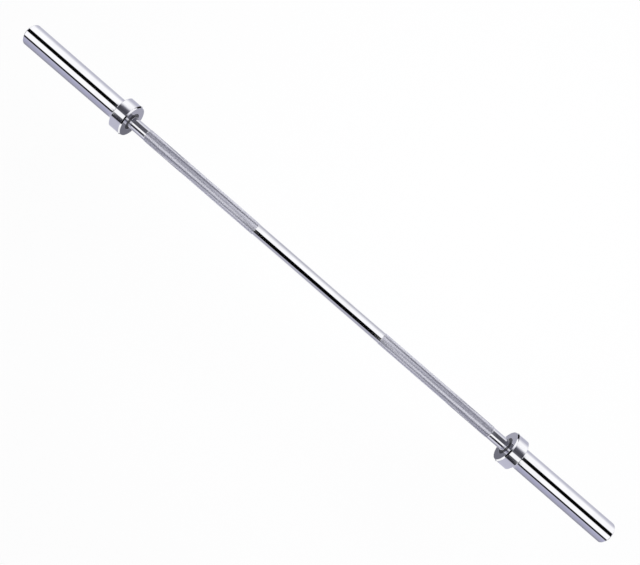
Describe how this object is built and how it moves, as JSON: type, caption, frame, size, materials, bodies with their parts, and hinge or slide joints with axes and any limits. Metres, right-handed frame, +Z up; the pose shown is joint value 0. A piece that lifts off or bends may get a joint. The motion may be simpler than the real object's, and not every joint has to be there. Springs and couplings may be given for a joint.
{
  "type": "barbell",
  "caption": "Straight steel barbell with a smooth-centred knurled shaft and free-turning chrome sleeves behind stop collars, for weight plates with two inch holes.",
  "frame": {"origin": "the middle of the bar, on its axis", "axes": "+X along the bar, +Z up with the bar lying level"},
  "size_m": [1.598, 0.076, 0.076],
  "materials": {
    "shaft_chrome": "polished chrome on the smooth stretches, satin chrome on the knurled bands",
    "sleeve_chrome": "polished chrome with fine turning marks",
    "collar_chrome": "polished chrome, with a satin turned inner face",
    "cap_chrome": "satin chrome with turning marks",
    "bronze": "oiled bearing bronze",
    "seal_rubber": "smooth black rubber",
    "spring_steel": "dark oiled spring steel"
  },
  "bodies": {
    "shaft": {"shaft": "shaft_chrome", "left_inner_thrust_washer": "bronze", "left_outer_thrust_washer": "bronze", "left_snap_ring": "spring_steel", "right_inner_thrust_washer": "bronze", "right_outer_thrust_washer": "bronze", "right_snap_ring": "spring_steel"},
    "left_sleeve": {"left_sleeve_tube": "sleeve_chrome", "left_collar": "collar_chrome", "left_dust_seal": "seal_rubber", "left_inner_bushing": "bronze", "left_outer_bushing": "bronze", "left_end_cap": "cap_chrome", "left_end_cap_ring": "spring_steel"},
    "right_sleeve": {"right_sleeve_tube": "sleeve_chrome", "right_collar": "collar_chrome", "right_dust_seal": "seal_rubber", "right_inner_bushing": "bronze", "right_outer_bushing": "bronze", "right_end_cap": "cap_chrome", "right_end_cap_ring": "spring_steel"}
  },
  "joints": [
    {"name": "left_sleeve_spin", "type": "hinge", "parent": "shaft", "child": "left_sleeve", "pos_m": [-0.66, 0, 0], "axis": [1, 0, 0], "continuous": true},
    {"name": "right_sleeve_spin", "type": "hinge", "parent": "shaft", "child": "right_sleeve", "pos_m": [0.66, 0, 0], "axis": [1, 0, 0], "continuous": true}
  ]
}
